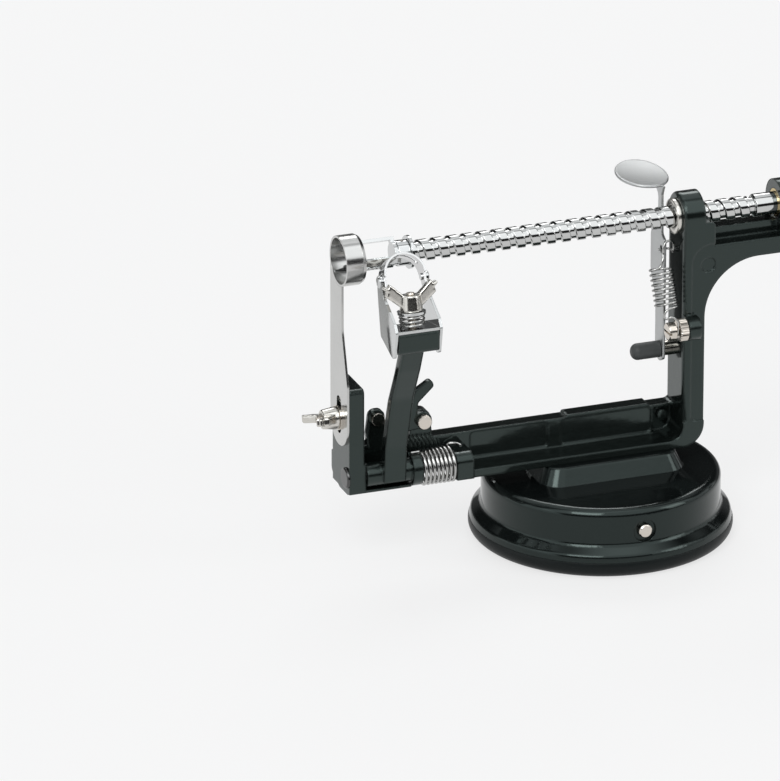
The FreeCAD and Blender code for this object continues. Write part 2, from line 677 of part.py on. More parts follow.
pivot_end = blade_post_left - 1.2
pivot = turned_x([(pivot_end, 0), (pivot_end, 4.65, 0.9), (blade_post_left, 4.65), (blade_post_left, pivot_radius),
                  (lug_right, pivot_radius, 0.5), (lug_right, 0)], pivot_y, pivot_z)
keep("pivot_rod", pivot)

# Arm spring: a twisted coil with one leg in the hub and one over the lug

coil_start = V(arm_hub_right + 0.7, pivot_y, pivot_z)
twist = helix_stations(coil_start, V(1, 0, 0), V(0, 0, 1), twist_coil, twist_pitch, twist_turns)
leg_in = [(V(arm_hub_left + 0.8, pivot_y, notch_z), V(1, 0, 0)),
          (V(arm_hub_left + 3.2, pivot_y, notch_z), V(1, 0, 0))]
leg_out = [(V(lug_left - 1.1, 0.4, pivot_z + 3.9), V(0, 0, 1)),
           (V(lug_left + 1.2, -0.4, pivot_z + 6.4), V(0.92, -0.38, 0).normalize()),
           (V(lug_left + 4.0, -4.4, pivot_z + 6.3), V(0.1, -0.99, -0.1).normalize())]
keep("arm_spring", wire_form("arm_spring", leg_in + twist + leg_out, twist_wire))

# Peeling head: bracket, blade, rivets, stud, spring, washer and wing nut

cheek_in = block_half + cheek_gap
cheek = [(head_y - 8.5, head_z + 2.4, 1.5), (head_y - 6.1, head_z + 5.8, 2.0), (head_y + 7.1, head_z + 13.1, 6.0),
         (head_y + 9.3, head_z + 21.1, 2.0), (head_y + 15.1, head_z + 20.9, 2.0), (head_y + 13.0, head_z + 8.5, 8.0),
         (head_y + 10.1, head_z - 5.3, 2.0), (head_y - 6.1, head_z - 10.9, 2.5)]
cheeks = []
for side in (-1, 1):
    low_x = head_x + min(side * cheek_in, side * (cheek_in + cheek_thick))
    cheeks.append(slab("yz", cheek, low_x, low_x + cheek_thick))
bridge = upright(box((-cheek_in - cheek_thick, cheek_in + cheek_thick), (-8.0, 8.2), (0.05, 1.25)))
bracket = joined(cheeks + [bridge])
bracket = bracket.cut(upright(rod_z(stud_radius + 0.2, -1, 4)))
rivet_y = head_y + 11.9
rivet_z = head_z + 18.5
bracket = bracket.cut(rod_x(1.5, head_x - 12, head_x + 12, rivet_y, rivet_z))
keep("head_bracket", bracket)

hoop_outer = cheek_in
hoop_inner = cheek_in - 0.9
hoop_half = 4.2
hoop = rod_y(hoop_outer, -hoop_half, hoop_half).cut(rod_y(hoop_inner, -hoop_half, hoop_half))
hoop = hoop.cut(box((-20, 20), (-20, 20), (-20, 0)))
legs = []
for side in (-1, 1):
    low_x = min(side * hoop_outer, side * hoop_inner)
    legs.append(box((low_x, low_x + 0.9), (-2.6, 2.6), (-4.4, 0.01)))
slit = slab("xy", [(-7.4, -1.4, 0.6), (7.4, -1.4, 0.6), (7.4, 0.3, 0.6), (-7.4, 0.3, 0.6)], 1.0, 20.0)
strip = joined([hoop] + legs).cut(slit)
strip.rotate(V(0, 0, 0), V(1, 0, 0), -hoop_lean)
strip.translate(V(head_x, rivet_y, rivet_z + 1.6))
strip = strip.cut(rod_x(1.5, head_x - 12, head_x + 12, rivet_y, rivet_z))
keep("peeling_blade", strip)
rivets = []
for side in (-1, 1):
    inner = side * (cheek_in - 1.5)
    outer = side * (cheek_in + cheek_thick)
    tip = side * (cheek_in + cheek_thick + 0.9)
    low, high = sorted((head_x + inner, head_x + outer))
    body = rod_x(1.5, low, high, rivet_y, rivet_z)
    low, high = sorted((head_x + outer, head_x + tip))
    rivets.append(body.fuse(rod_x(2.6, low, high, rivet_y, rivet_z)))
Part.makeCompound(rivets).exportStep("parts/blade_rivets.step")

spring_low = 1.35
spring_high = 6.9
keep("head_stud", upright(rod_z(stud_radius, -7.0, 16.0)))
press_rise = (spring_high - spring_low - 2 * press_wire) / press_turns
press = helix_stations(V(0, 0, spring_low + press_wire), V(0, 0, 1), V(0, 1, 0), press_coil, press_rise, press_turns)
keep("head_spring", upright(wire_form("head_spring", press, press_wire)))
washer_top = spring_high + 1.2
keep("head_washer", upright(rod_z(6.2, spring_high + 0.05, washer_top).cut(rod_z(stud_radius + 0.1, 0, 30))))


def wing_nut(bore_radius):
    # Drawn about the Z axis, its seat at zero and its wings along X.
    barrel_part = turned_z([(bore_radius, 0), (5.0, 0, 0.4), (4.0, 7.0, 0.8), (bore_radius, 7.0)])
    wing = slab("xz", [(2.6, 1.2), (5.5, 2.2, 2.5), (13.0, 8.6, 2.6), (11.0, 14.4, 2.6), (5.6, 9.6, 3.0), (3.0, 6.6)],
                -1.7, 1.7)
    wing = wing.makeFillet(0.7, [edge for edge in wing.Edges if edge.BoundBox.YLength < 0.01 and edge.BoundBox.XMin > 5])
    other = wing.mirror(V(0, 0, 0), V(1, 0, 0))
    return joined([barrel_part, wing, other]).cut(rod_z(bore_radius, -1, 20))


head_nut = wing_nut(stud_radius).translated(V(0, 0, washer_top + 0.05))
keep("head_wing_nut", upright(head_nut))

# Slicing blade with the coring ring, and its clamp

blade_left = blade_post_left - blade_thick
strip_low = blade_foot + blade_half
ring_z = spindle_z
blade = slab("yz", [(-blade_half, blade_foot, blade_half - 0.1), (blade_half, blade_foot, blade_half - 0.1),
                    (blade_half, blade_post_top + 0.6), (ring_outer - 0.8, ring_z - 1), (-3.5, ring_z - 1),
                    (-3.5, ring_z - 30.5, 20.0), (-blade_half, blade_post_top + 1.6, 10.0)], blade_left, blade_post_left)
slot = slab("yz", [(-slot_half, slot_low, slot_half - 0.05), (slot_half, slot_low, slot_half - 0.05),
                   (slot_half, slot_high, slot_half - 0.05), (-slot_half, slot_high, slot_half - 0.05)],
            blade_left - 1, blade_post_left + 1)
blade = blade.cut(slot).cut(rod_x(ring_outer, blade_left - 1, blade_post_left + 1, 0, ring_z))
keep("slicing_blade", blade)
ring_right = blade_left + ring_length
keep("coring_ring", turned_x([(blade_left, ring_inner), (blade_left, ring_outer), (ring_right - 1.5, ring_outer),
                              (ring_right, ring_inner + 0.2), (ring_right, ring_inner)], 0, ring_z))
bolt_end = blade_left - 10.0
clamp_bolt = turned_x([(rail_left + 2.0, 0), (rail_left + 2.0, 4.6, 1.4), (rail_left, 4.6), (rail_left, clamp_radius),
                       (bolt_end, clamp_radius, 0.4), (bolt_end, 0)], 0, clamp_z)
keep("clamp_bolt", clamp_bolt)
keep("clamp_washer", rod_x(5.4, blade_left - 1.0, blade_left, 0, clamp_z).cut(
    rod_x(clamp_radius + 0.1, blade_left - 2, blade_left + 1, 0, clamp_z)))
clamp_nut = wing_nut(clamp_radius)
clamp_nut.rotate(V(0, 0, 0), V(0, 1, 0), -90)
clamp_nut.rotate(V(0, 0, 0), V(1, 0, 0), clamp_nut_turn)
keep("clamp_wing_nut", clamp_nut.translated(V(blade_left - 1.0, 0, clamp_z)))

# Release lever with its tooth, stud, spacer and cap

plate_right = plate_left + plate_thick
plate = slab("yz", [(1.9, stud_z - 3.3, 2.0), (stud_y, stud_z - 5.7, 3.0), (10.9, stud_z - 3.3, 2.0),
                    (10.9, spindle_z - 40.5, 10.0), (17.0, spindle_z - 30.5, 10.0), (17.0, spindle_z - 10.5, 5.0),
                    (9.4, spindle_z - 7.5, 4.0), (9.4, pad_z + 1.0), (5.2, pad_z + 1.0), (5.2, spindle_z - 9.5),
                    (1.8, spindle_z - 11.5, 1.5), (1.8, spindle_z - 30.5, 6.0), (1.9, spindle_z - 40.5)],
             plate_left, plate_right)
plate = plate.cut(rod_x(thread_radius + 0.45, plate_left - 1, plate_right + 1, 0, spindle_z))
tooth = box((plate_left, plate_right), (tooth_reach, 6.2), (spindle_z - 1.6, spindle_z + 1.6))
ear_y = 4.8
ear_z = spindle_z - 16.5
plate = plate.cut(rod_x(1.7, plate_left - 1, plate_right + 1, ear_y, ear_z))
pad_block = Part.makeCylinder(1.0, 8.0, V(0, 0, 0), V(0, 0, 1))
squash = FreeCAD.Matrix()
squash.A11 = pad_half_x
squash.A22 = pad_half_long
pad_block = pad_block.transformGeometry(squash).translated(V(pad_x, pad_y, pad_z - 2))
sphere_z = pad_z + dish
bowl = Part.makeSphere(dish + 1.3, V(pad_x, pad_y, sphere_z)).cut(Part.makeSphere(dish, V(pad_x, pad_y, sphere_z)))
thumb_pad = bowl.common(pad_block)
bridge_tab = box((pad_x - 0.5, plate_right), (5.2, 9.4), (pad_z - 0.1, pad_z + 1.2))
release_lever = joined([plate, tooth, bridge_tab, thumb_pad])
release_lever = release_lever.cut(rod_x(lever_hole, plate_left - 1, plate_right + 1, stud_y, stud_z))
keep("release_lever", release_lever)
lever_stud = turned_x([(plate_left - 3.0, 0), (plate_left - 3.0, 2.0), (plate_left - 0.2, 2.0),
                       (plate_left - 0.2, lever_hole - fit_run), (plate_right + 0.2, lever_hole - fit_run),
                       (plate_right + 0.2, 2.0), (post_left + 7.0, 2.0), (post_left + 7.0, 0)], stud_y, stud_z)
keep("lever_stud", lever_stud)
keep("lever_spacer", rod_x(3.25, plate_right + 0.2, post_left, stud_y, stud_z).cut(
    rod_x(2.0, plate_left, post_left + 1, stud_y, stud_z)))
keep("lever_cap", turned_x([(16.0, 0), (16.0, 3.65, 3.0), (plate_left - 0.2, 3.65), (plate_left - 0.2, 2.0),
                            (plate_left - 3.0, 2.0), (plate_left - 3.0, 0)], stud_y, stud_z))

# Return spring between the lever's edge and the anchor screw

collar_face = post_left - 0.1
collar_low = collar_face - 4.0
anchor_collar = turned_x([(collar_low, 1.6), (collar_low, 4.9, 0.5), (collar_face, 4.9, 0.5), (collar_face, 1.6)],
                         anchor_y, anchor_z)
keep("anchor_collar", anchor_collar)
wire_x = collar_low - 0.7
head_right = collar_low - 1.4
anchor = turned_x([(head_right - 3.6, 0), (head_right - 3.6, 3.9, 0.6), (head_right, 3.9, 0.4), (head_right, 1.6),
                   (post_left + 5.0, 1.6), (post_left + 5.0, 0)], anchor_y, anchor_z)
anchor = anchor.cut(box((head_right - 4.6, head_right - 2.6), (anchor_y - 5, anchor_y + 5),
                        (anchor_z - 0.5, anchor_z + 0.5)))
keep("anchor_screw", anchor)

coil_top = V(25.5, -3.8, 118.0)
coil_foot = V(26.5, -8.5, 102.2)
coil_way = (coil_top - coil_foot).normalize()
coil_side = (V(0, 1, 0) - coil_way * coil_way.y).normalize()
coils = helix_stations(coil_foot, coil_way, coil_side * -1, return_coil, return_pitch, return_turns)
hook_foot = [(V(wire_x, anchor_y + 0.8, anchor_z - 2.2), V(0, -1, 0)), (V(wire_x, anchor_y - 2.3, anchor_z), V(0, 0, 1)),
             (V(wire_x, anchor_y - 2.4, anchor_z + 3.8), V(0, 0, 1)),
             (V(wire_x - 1.4, anchor_y - 2.2, anchor_z + 6.4), V(-0.6, 0, 0.8)),
             (V(23.4, -13.4, 100.2), V(-0.1, 0, 0.99).normalize())]
hook_top = [(V(25.4, -5.2, 121.6), V(0.3, 0.1, 0.95).normalize()), (V(26.6, -3.4, 126.2), V(0, 0, 1)),
            (V(29.6, -2.4, 130.4), V(1, 0, 0)), (V(32.5, -0.6, 125.8), V(0, 0.15, -0.99).normalize()),
            (V(31.4, ear_y, ear_z), V(-1, 0, 0)), (V(27.6, ear_y, ear_z), V(-1, 0, 0))]
keep("release_spring", wire_form("release_spring", hook_foot + coils + hook_top, return_wire))

# Latch behind the peel arm

latch_front = web_front - 2.9
latch_back = web_front - 0.3
ear_x = latch_x - 21.3
ear = slab("xz", [(ear_x - 4.0, latch_z - 10.5, 3.2), (ear_x + 2.8, latch_z - 10.5, 2.5), (ear_x + 4.4, latch_z - 2.0, 3.0),
                  (ear_x + 3.4, latch_z + 8.0, 3.1), (ear_x - 3.2, latch_z + 8.0, 3.1), (ear_x - 4.6, latch_z - 2.5, 6.0)],
           latch_front, latch_back)
link = slab("xz", [(ear_x + 1.0, latch_z - 5.3), (latch_x, latch_z - 3.3), (latch_x, latch_z + 3.3),
                   (ear_x + 1.0, latch_z + 0.9)], latch_front, latch_back)
thumb = slab("xz", [(latch_x - 8.0, latch_z), (latch_x - 3.0, latch_z), (latch_x - 2.2, latch_z + 8.6, 2.0),
                    (latch_x + 5.0, latch_z + 15.4, 1.6), (latch_x + 3.8, latch_z + 19.0, 1.6),
                    (latch_x - 3.2, latch_z + 14.6, 2.0), (latch_x - 6.2, latch_z + 8.6, 3.0)], latch_front, latch_back)
latch_body = joined([ear, link, thumb, rod_y(4.0, latch_front, latch_back, latch_x, latch_z)])
latch_body = latch_body.cut(rod_y(1.8 + fit_run, -5, 3, latch_x, latch_z))
stop_x = ear_x + 0.2
stop_z = latch_z + 4.1
latch_body = latch_body.cut(rod_y(1.5, -5, 3, stop_x, stop_z))
keep("arm_latch", latch_body)
keep("latch_pin", joined([rod_y(3.3, latch_front - 2.8, latch_front - 0.1, latch_x, latch_z),
                          rod_y(1.8, latch_front - 1, web_front + 4.8, latch_x, latch_z)]))
keep("stop_screw", joined([rod_y(2.9, latch_front - 2.0, latch_front, stop_x, stop_z),
                           rod_y(1.5, latch_front, latch_back + 0.8, stop_x, stop_z)]))
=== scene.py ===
import math

import bmesh
import bpy
from mathutils import Matrix, Vector


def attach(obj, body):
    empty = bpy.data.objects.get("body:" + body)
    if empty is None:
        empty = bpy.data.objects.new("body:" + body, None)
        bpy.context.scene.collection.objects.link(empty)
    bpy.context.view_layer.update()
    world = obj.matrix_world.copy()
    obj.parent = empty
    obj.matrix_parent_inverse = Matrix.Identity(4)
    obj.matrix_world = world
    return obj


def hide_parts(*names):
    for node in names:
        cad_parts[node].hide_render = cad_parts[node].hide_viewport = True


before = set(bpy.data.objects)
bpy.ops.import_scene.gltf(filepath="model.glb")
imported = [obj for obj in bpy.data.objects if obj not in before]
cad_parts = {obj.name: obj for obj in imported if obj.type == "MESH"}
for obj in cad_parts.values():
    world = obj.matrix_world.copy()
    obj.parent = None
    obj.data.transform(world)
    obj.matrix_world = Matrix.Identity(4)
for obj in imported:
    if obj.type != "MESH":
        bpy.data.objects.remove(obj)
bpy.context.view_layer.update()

# Camera: a long lens from the front left, a little above the tool.
# It looks at the tool from a worktop's height and stands four metres away.

turn, rise = math.radians(-20.4), math.radians(22.1)
backward = Vector((math.sin(turn) * math.cos(rise), -math.cos(turn) * math.cos(rise), math.sin(rise)))
rightward = Vector((math.cos(turn), math.sin(turn), 0))
upward = backward.cross(rightward)
lens = bpy.data.cameras.new("camera")
lens.sensor_fit = "HORIZONTAL"
lens.sensor_width = 36
lens.lens = 428.3
lens.clip_end = 100
camera = bpy.data.objects.new("camera", lens)
spot = Vector((0, 0, 0.070)) - rightward * 0.0912 - upward * 0.0053 + backward * 4.0
camera.matrix_world = Matrix.Translation(spot) @ Matrix((rightward, upward, backward)).transposed().to_4x4()
bpy.context.scene.collection.objects.link(camera)
bpy.context.scene.camera = camera

# Base housing and suction lever: black gloss enamel over a cast cup and a stamped lever.
# Dipped and stoved, so the skin is smooth and wet looking with a faint orange peel.


class Reading:
    """A shader socket that can be added, multiplied and so on."""

    def __init__(self, recipe, socket):
        self.recipe = recipe
        self.socket = socket

    def sum(self, operation, *others):
        return self.recipe.node("ShaderNodeMath", {"operation": operation}, *others)

    def __add__(self, other):
        return self.sum("ADD", self, other)

    def __radd__(self, other):
        return self.sum("ADD", other, self)

    def __sub__(self, other):
        return self.sum("SUBTRACT", self, other)

    def __rsub__(self, other):
        return self.sum("SUBTRACT", other, self)

    def __mul__(self, other):
        return self.sum("MULTIPLY", self, other)

    def __rmul__(self, other):
        return self.sum("MULTIPLY", other, self)


class Recipe:
    """The nodes of one finish, or of the studio around the tool."""

    def __init__(self, owner):
        owner.use_nodes = True
        self.owner = owner
        self.tree = owner.node_tree

    def node(self, kind, settings, *inputs, out=0, **named):
        made = self.tree.nodes.new(kind)
        for key, value in settings.items():
            setattr(made, key, value)
        wires = list(enumerate(inputs)) + [(key.replace("_", " "), value) for key, value in named.items()]
        for key, value in wires:
            if isinstance(value, Reading):
                self.tree.links.new(value.socket, made.inputs[key])
            elif value is not None:
                made.inputs[key].default_value = value
        return Reading(self, made.outputs[out])

    def ramp(self, value, low, high):
        smooth = {"interpolation_type": "SMOOTHSTEP"}
        return self.node("ShaderNodeMapRange", smooth, value, low, high, 0.0, 1.0)


class Finish(Recipe):
    """A material with one Principled shader, read from the object's own coordinates."""

    def __init__(self, name):
        super().__init__(bpy.data.materials.new(name))
        self.shader = self.tree.nodes["Principled BSDF"]
        self.place = self.node("ShaderNodeTexCoord", {}, out="Object")

    def grain(self, scale, detail=3.0, roughness=0.5, stretch=(1, 1, 1)):
        place = self.node("ShaderNodeVectorMath", {"operation": "MULTIPLY"}, self.place, stretch)
        return self.node("ShaderNodeTexNoise", {}, Vector=place, Scale=scale, Detail=detail,
                         Roughness=roughness)

    def mixed(self, mask, low, high):
        """A colour between two others. The blend node's colours are its inputs 6 and 7, and its output 2."""
        unused = [None] * 5
        return self.node("ShaderNodeMix", {"data_type": "RGBA"}, mask, *unused, (*low, 1), (*high, 1), out=2)

    def set(self, **values):
        for key, value in values.items():
            socket = self.shader.inputs[key.replace("_", " ")]
            if isinstance(value, Reading):
                self.tree.links.new(value.socket, socket)
            else:
                socket.default_value = (*value, 1) if isinstance(value, tuple) else value

    def relief(self, height, depth, edge):
        """Rounds the sharp edges by a radius, and adds an uneven skin. Both sizes are in metres."""
        soft = self.node("ShaderNodeBevel", {"samples": 4}, Radius=edge)
        uneven = self.node("ShaderNodeBump", {}, Strength=1.0, Distance=depth, Height=height, Normal=soft)
        self.set(Normal=uneven)


def enamel(name, colour, peel, dullness, edge, index):
    """Stoved enamel, clouded and a little dusty. It mirrors with a faint green cast."""
    finish = Finish(name)
    clouds = finish.grain(45.0, 4.0, 0.6)
    dust = finish.grain(900.0, 2.0, 0.5)
    finish.set(Base_Color=finish.mixed(clouds, colour, tuple(c * 1.6 for c in colour)),
               Roughness=clouds * 0.07 + dust * 0.03 + dullness, IOR=index, Specular_Tint=(0.80, 1.0, 0.95))
    finish.relief(finish.grain(320.0, 2.0, 0.4) + dust * 0.15, peel, edge)
    return finish.owner


def dress(material, *names):
    """Gives solids of the frame their finish."""
    for name in names:
        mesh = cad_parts[name].data
        mesh.materials.clear()
        mesh.materials.append(material)


base_enamel = enamel("base_enamel", (0.0035, 0.0045, 0.0045), 0.00001, 0.04, 0.0008, 1.43)
dress(base_enamel, "base_housing", "suction_lever")

# Rubber foot ring, suction disc and the soft cap on the lever's stud.
# Moulded in one dark mix, matt, with a fine blasted grain.


def rubber(name, colour, dullness):
    """Moulded rubber with a pale bloom in patches."""
    finish = Finish(name)
    bloom = finish.grain(60.0, 5.0, 0.6)
    finish.set(Base_Color=finish.mixed(bloom, colour, tuple(c * 1.5 for c in colour)),
               Roughness=bloom * 0.12 + dullness, Specular_IOR_Level=0.17)
    finish.relief(finish.grain(1400.0, 2.0, 0.6), 0.00002, 0.0003)
    return finish.owner


dress(rubber("foot_rubber", (0.004, 0.006, 0.006), 0.32), "foot_ring", "suction_disc")
dress(rubber("cap_rubber", (0.060, 0.064, 0.064), 0.38), "lever_cap")

# Frame, peel arm and latch: iron castings under the same enamel as the base.
# The sand cast skin shows through as a slow ripple, and the edges are well rounded.

casting_enamel = enamel("casting_enamel", (0.0045, 0.0060, 0.0055), 0.00003, 0.06, 0.0014, 1.54)
dress(casting_enamel, "frame", "peel_arm", "arm_latch")

# Plated and bare metal pieces: polished steel with chrome on the fork, bracket, washers and crank.
# Screws, pins and spacers are nickel plated, the pivot rod is blackened and the rear bush is bare brass.


def plated(name, colour, dullness, scratch):
    """Polished metal, hazed in patches and with faint lines from the wheel."""
    finish = Finish(name)
    haze = finish.grain(70.0, 4.0, 0.6)
    lines = finish.grain(260.0, 3.0, 0.6, (1, 6, 1))
    finish.set(Base_Color=finish.mixed(haze, colour, tuple(c * 0.88 for c in colour)), Metallic=1.0,
               Roughness=haze * 0.05 + lines * 0.04 + dullness)
    finish.relief(lines, scratch, 0.00025)
    return finish.owner


chrome = plated("chrome_plate", (0.62, 0.63, 0.63), 0.02, 0.000002)
dress(chrome, "thrust_washer", "fork_collar", "fork", "crank_arm", "crank_nut", "crank_washer",
      "head_bracket", "handle_rod", "head_washer")
nickel = plated("nickel_plate", (0.68, 0.63, 0.57), 0.12, 0.000004)
dress(nickel, "anchor_screw", "cam_shaft", "lever_spacer", "lever_stud", "clamp_washer", "stop_screw",
      "frame_screws", "fork_pin", "lever_pin", "eccentric_cam", "draw_yoke", "draw_plate")
dress(plated("blackened_steel", (0.10, 0.10, 0.10), 0.16, 0.000004), "pivot_rod")
dress(plated("bush_brass", (0.60, 0.47, 0.24), 0.18, 0.000004), "rear_bush")

# Screw spindle: one polished steel bar with a coarse rolled groove, a journal and a square end.
# The groove passes the release lever's tooth, and the shoulder turns in the rear bush.

axle_height = 0.1405
groove_pitch = 0.0069
tooth_place = 0.0296


def solid_of(name, verts, faces, material, body, node):
    """A closed piece from points and faces, riding on a body in place of one of the frame's solids."""
    mesh = bpy.data.meshes.new(name)
    mesh.from_pydata(verts, [], faces)
    work = bmesh.new()
    work.from_mesh(mesh)
    bmesh.ops.remove_doubles(work, verts=work.verts, dist=1e-6)
    bmesh.ops.dissolve_degenerate(work, dist=1e-6, edges=work.edges)
    bmesh.ops.holes_fill(work, edges=[edge for edge in work.edges if edge.is_boundary], sides=0)
    bmesh.ops.recalc_face_normals(work, faces=work.faces)
    work.to_mesh(mesh)
    work.free()
    mesh.materials.append(material)
    piece = bpy.data.objects.new(name, mesh)
    bpy.context.scene.collection.objects.link(piece)
    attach(piece, body)
    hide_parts(node)
    return piece


def soften(piece, degrees=40):
    """Rounds the shading over shallow edges and keeps the sharp ones."""
    for polygon in piece.data.polygons:
        polygon.use_smooth = True
    work = bmesh.new()
    work.from_mesh(piece.data)
    for edge in work.edges:
        edge.smooth = len(edge.link_faces) == 2 and edge.calc_face_angle(0) < math.radians(degrees)
    work.to_mesh(piece.data)
    work.free()


def threaded(profile, radius, lead, start, low, high, chamfer, around):
    """A thread about +X, its profile in (offset along the lead, depth) from one root to the next."""
    offsets = [offset for offset, depth in profile]

    def depth_at(offset):
        offset = (offset - offsets[0]) % lead + offsets[0]
        for (a, deep_a), (b, deep_b) in zip(profile, profile[1:] + [(profile[0][0] + lead, profile[0][1])]):
            if offset <= b:
                return deep_a + (deep_b - deep_a) * (offset - a) / max(b - a, 1e-9)
        return 0.0

    first = math.floor((low - start) / lead) - 2
    last = math.ceil((high - start) / lead) + 2
    rows = (last - first) * len(profile)
    verts = []
    for row in range(rows):
        lap, step = divmod(row, len(profile))
        for side in range(around):
            root = start + lead * (first + lap + side / around)
            x = min(max(root + profile[step][0], low), high)
            r = radius - depth_at(x - root)
            r = min(r, radius - chamfer + min(x - low, high - x, chamfer))
            angle = 2 * math.pi * side / around
            verts.append((x, r * math.cos(angle), r * math.sin(angle)))
    faces = []
    for row in range(rows - len(profile)):
        for side in range(around):
            if side + 1 < around:
                faces.append((row * around + side, (row + 1) * around + side,
                              (row + 1) * around + side + 1, row * around + side + 1))
            else:
                over = row + len(profile)
                if over + 1 < rows:
                    faces.append((row * around + side, (row + 1) * around + side,
                                  (over + 1) * around, over * around))
    return verts, faces


def skin(rows, around):
    """Faces between rows of points, each row a closed ring."""
    return [(row * around + k, (row + 1) * around + k, (row + 1) * around + (k + 1) % around,
             row * around + (k + 1) % around) for row in range(rows - 1) for k in range(around)]


def turned(outline, around=64):
    """A shape turned about +X from (place along X, radius) points."""
    verts = [(x, r * math.cos(2 * math.pi * k / around), r * math.sin(2 * math.pi * k / around))
             for x, r in outline for k in range(around)]
    return verts, skin(len(outline), around)


def together(*shapes):
    """Several shapes as one."""
    verts, faces = [], []
    for shape_verts, shape_faces in shapes:
        faces += [tuple(index + len(verts) for index in face) for face in shape_faces]
        verts += shape_verts
    return verts, faces


def set_at(shape, matrix):
    """A shape moved to its place."""
    verts, faces = shape
    return [tuple(matrix @ Vector(point)) for point in verts], faces


groove = [(-0.00190, 0), (-0.00172, 0), (-0.00158, 0.00008), (-0.00126, 0.00088), (-0.00108, 0.00100),
          (-0.00080, 0.00100), (0.00080, 0.00100), (0.00108, 0.00100), (0.00126, 0.00088), (0.00158, 0.00008),
          (0.00172, 0), (0.00190, 0)]
screw = threaded(groove, 0.00475, groove_pitch, tooth_place, -0.089, 0.067, 0.0005, 64)
tail = turned([(0.0665, 0.0036), (0.0687, 0.0036), (0.0692, 0.0047), (0.0695, 0.0050), (0.0697, 0.0050),
               (0.1178, 0.0050), (0.1180, 0.0049), (0.1180, 0.0030)])
nose = turned([(-0.0950, 0.0001), (-0.0950, 0.0030), (-0.0888, 0.0030)])
half_square = 0.0036
square_end = [(x, y, z) for x in (0.1180, 0.1241) for y, z in
              ((-half_square, -half_square), (half_square, -half_square), (half_square, half_square),
               (-half_square, half_square))]
square_faces = [(0, 1, 2, 3), (4, 5, 6, 7), (0, 1, 5, 4), (1, 2, 6, 5), (2, 3, 7, 6), (3, 0, 4, 7)]
stub = turned([(0.1235, 0.0028), (0.1300, 0.0028), (0.1300, 0.0001)], 32)
on_axle = Matrix.Translation((0, 0, axle_height))
bar = together(screw, tail, nose, (square_end, square_faces), stub)
spindle = solid_of("spindle_screw", *set_at(bar, on_axle),
                   plated("screw_chrome", (0.58, 0.585, 0.58), 0.03, 0.000002), "spindle_body", "spindle")
soften(spindle)

# Front bush: a plain bearing of turned steel with a flange, pressed into the post.
# Its flange and bore are rounded, since the screw rubs there.

flanged = turned([(0.0436, 0.00481), (0.0322, 0.00481), (0.0318, 0.00488), (0.0316, 0.0051), (0.0316, 0.0070),
                  (0.03168, 0.00735), (0.0319, 0.00765), (0.0323, 0.0078), (0.0338, 0.0078), (0.0340, 0.0077),
                  (0.0340, 0.00625), (0.0436, 0.00625), (0.0436, 0.00481)], 96)
front_bush = solid_of("front_bush_turned", *set_at(flanged, on_axle),
                      plated("bush_nickel", (0.66, 0.64, 0.60), 0.16, 0.000004), "frame_body", "front_bush")
soften(front_bush, 50)

# Release lever: stamped from plate with its tooth, then chromed like the bracket; its colour is painted
# darker, as painted shade.
# Its neck spreads under a dished thumb pad, and its rim and edges are rounded.


def rounded(corners, steps=6):
    """Points round an outline of (across, up, rounding), in millimetres."""
    points = []
    for index, (across, up, rounding) in enumerate(corners):
        here = Vector((across, up))
        back = (Vector(corners[index - 1][:2]) - here).normalized()
        ahead = (Vector(corners[(index + 1) % len(corners)][:2]) - here).normalized()
        if not rounding:
            points.append(here)
            continue
        half = back.angle(ahead) / 2
        start, finish = here + back * rounding / math.tan(half), here + ahead * rounding / math.tan(half)
        centre = here + (back + ahead).normalized() * rounding / math.sin(half)
        for step in range(steps + 1):
            arm = ((start - centre).lerp(finish - centre, step / steps)).normalized()
            points.append(centre + arm * rounding)
    return points


def stamped(outlines, thick, edge):
    """A plate with holes, its rims rolled over by the punch. The sizes are in millimetres."""
    drawn = bpy.data.curves.new("stamping", "CURVE")
    drawn.dimensions, drawn.fill_mode = "2D", "BOTH"
    drawn.extrude, drawn.bevel_depth, drawn.offset = (thick / 2 - edge) / 1000, edge / 1000, -edge / 1000
    drawn.bevel_resolution = 2
    for outline in outlines:
        line = drawn.splines.new("POLY")
        line.points.add(len(outline) - 1)
        line.use_cyclic_u = True
        for point, (across, up) in zip(line.points, outline):
            point.co = (across / 1000, up / 1000, 0, 1)
    holder = bpy.data.objects.new("stamping", drawn)
    bpy.context.scene.collection.objects.link(holder)
    bpy.context.view_layer.update()
    mesh = bpy.data.meshes.new_from_object(holder.evaluated_get(bpy.context.evaluated_depsgraph_get()))
    shape = [tuple(vert.co) for vert in mesh.vertices], [tuple(face.vertices) for face in mesh.polygons]
    bpy.data.objects.remove(holder)
    bpy.data.curves.remove(drawn)
    bpy.data.meshes.remove(mesh)
    return shape


def dished(half_x, half_y, bowl, thick, around=96):
    """A shallow oval dish with a round rim, from the middle of its top to the middle of its underside."""
    rows = [(share, 0.0) for share in (0.01, 0.2, 0.4, 0.55, 0.7, 0.8, 0.88, 0.95)]
    rows += [(0.95 + 0.05 * math.sin(math.pi * k / 8), thick / 2 * (math.cos(math.pi * k / 8) - 1))
             for k in range(1, 8)]
    rows += [(share, -thick) for share in (0.95, 0.8, 0.6, 0.4, 0.2, 0.01)]
    verts = []
    for share, drop in rows:
        for k in range(around):
            angle = 2 * math.pi * k / around
            x, y = share * half_x * math.cos(angle), share * half_y * math.sin(angle)
            verts.append((x, y, bowl - math.sqrt(bowl ** 2 - x * x - y * y) + drop))
    return verts, skin(len(rows), around)


def hole(across, up, radius):
    """Points round a hole, in millimetres."""
    return [(across + radius * math.cos(math.pi * k / 16), up + radius * math.sin(math.pi * k / 16))
            for k in range(32)]


